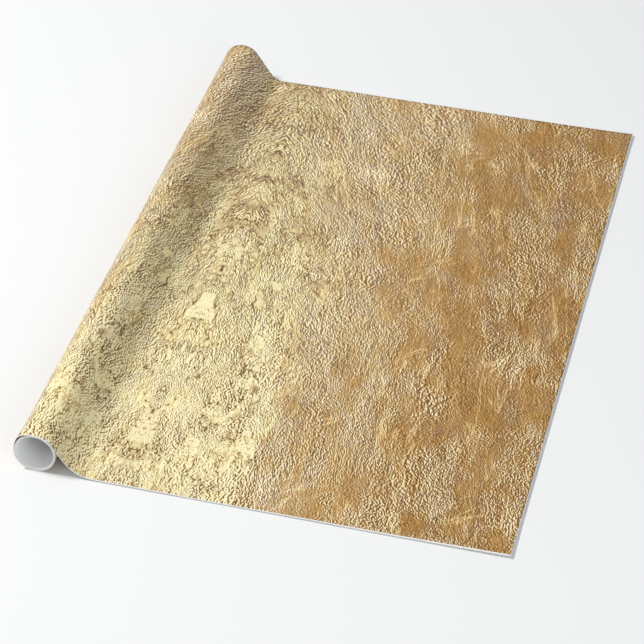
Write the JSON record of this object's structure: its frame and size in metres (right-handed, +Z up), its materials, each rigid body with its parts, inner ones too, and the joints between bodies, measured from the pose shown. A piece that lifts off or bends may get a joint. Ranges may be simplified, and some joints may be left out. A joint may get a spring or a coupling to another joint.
{
  "type": "wrapping paper roll",
  "caption": "Roll of printed gift wrap on a paperboard core, lying on a table with its free end led down and laid out flat, gold crinkled-foil print.",
  "frame": {"origin": "on the table, under the middle of the box round the roll and its laid-out paper", "axes": "+Z up; +Y along the roll's axis, away from the front edge; +X from the roll towards the paper's free edge"},
  "size_m": [0.4756, 0.737, 0.0411],
  "materials": {
    "core_board": "matte",
    "start_tape": "satin",
    "wound_paper": "satin",
    "lead_paper": "satin",
    "laid_paper": "satin"
  },
  "bodies": {
    "laid_sheet": {"laid_sheet": "laid_paper"},
    "lead_off": {"lead_off": "lead_paper"},
    "roll": {"wound_turns": "wound_paper", "core_tube": "core_board", "start_tape": "start_tape"}
  },
  "joints": [
    {"name": "roll_travel", "type": "slide", "parent": "laid_sheet", "child": "lead_off", "axis": [1, 0, 0], "range_m": [-1.15, 0.25], "deforming": ["laid_sheet"]},
    {"name": "roll_turn", "type": "hinge", "parent": "lead_off", "child": "roll", "pos_m": [-0.2172, 0, 0.0206], "axis": [0, 1, 0], "range_deg": [-696, 3200]}
  ],
  "couplings": [
    {"joint": "roll_turn", "follows": "roll_travel", "rad_per_m": -48.544}
  ]
}
